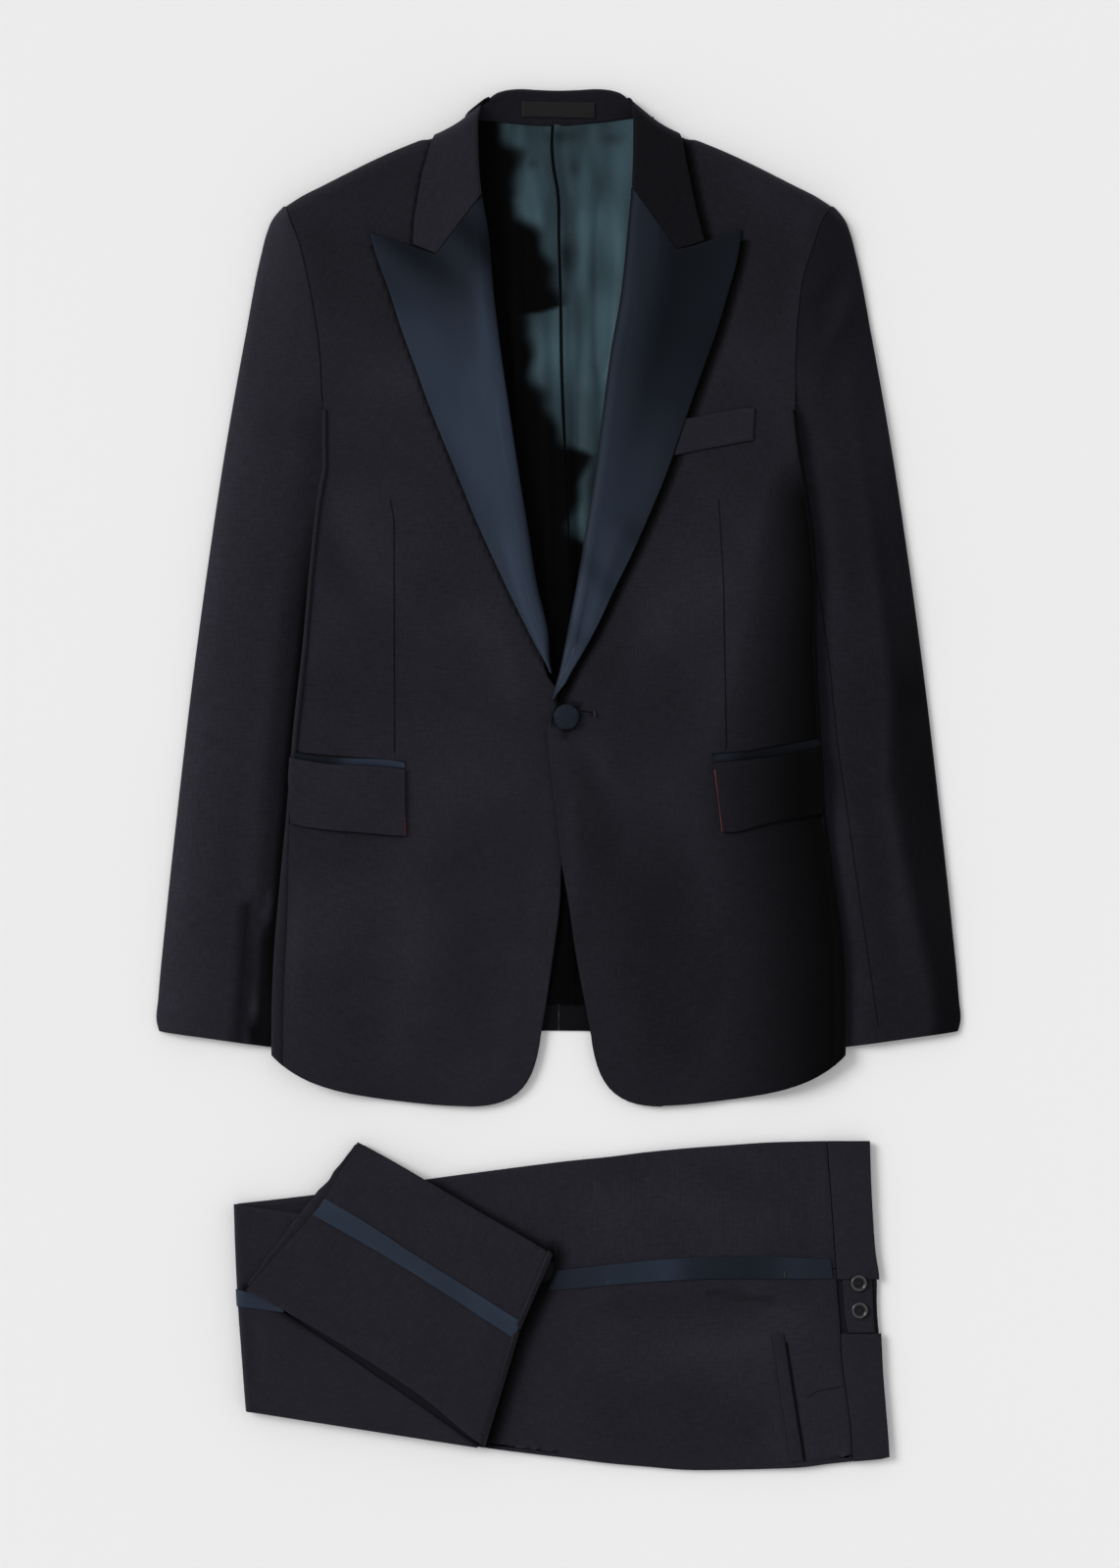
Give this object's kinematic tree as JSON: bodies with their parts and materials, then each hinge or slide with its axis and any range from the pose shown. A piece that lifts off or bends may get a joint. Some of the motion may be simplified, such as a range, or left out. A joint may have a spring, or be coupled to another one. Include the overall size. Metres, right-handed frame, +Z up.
{
  "type": "tuxedo",
  "caption": "Single-breasted dinner jacket with satin peak lapels, laid flat above its folded trousers with a satin side stripe.",
  "frame": {"origin": "on the surface the clothes lie on, at the middle of their outline", "axes": "+Y from the trousers towards the jacket's collar, +X towards the wearer's left side of the jacket, +Z up off the surface"},
  "size_m": [0.658, 1.128, 0.0206],
  "materials": {
    "wool": "fine matt worsted wool, near-black midnight blue",
    "satin": "midnight blue satin with a soft sheen",
    "lining": "dark teal satin lining",
    "flap_lining": "orange-red flap lining",
    "label": "plain black woven label",
    "button": "polished black"
  },
  "bodies": {
    "root": {"adjuster_button_back": "button", "adjuster_button_front": "button", "adjuster_tab": "wool", "back_left": "wool", "back_right": "wool", "breast_welt": "wool", "collar_back": "wool", "collar_leaf_left": "wool", "collar_leaf_right": "wool", "flap_lining_left": "flap_lining", "flap_lining_right": "flap_lining", "front_button": "satin", "front_left": "wool", "front_right": "wool", "lapel_left": "satin", "lapel_right": "satin", "left_leg_back": "wool", "left_leg_back_end": "wool", "left_leg_front": "wool", "left_leg_front_end": "wool", "left_leg_stripe": "satin", "left_leg_stripe_end": "satin", "lining_left": "lining", "lining_right": "lining", "neck_label": "label", "pocket_flap_left": "wool", "pocket_flap_right": "wool", "pocket_jetting_left": "satin", "pocket_jetting_right": "satin", "rear_pocket_welt": "wool", "right_leg_back": "wool", "right_leg_front": "wool", "right_leg_hem": "wool", "right_leg_stripe": "satin", "side_panel_left": "wool", "side_panel_right": "wool", "sleeve_top_left": "wool", "sleeve_top_right": "wool", "sleeve_under_left": "wool", "sleeve_under_right": "wool", "trousers_hidden_layers": "wool", "waistband_back": "wool", "waistband_front": "wool"}
  },
  "joints": []
}
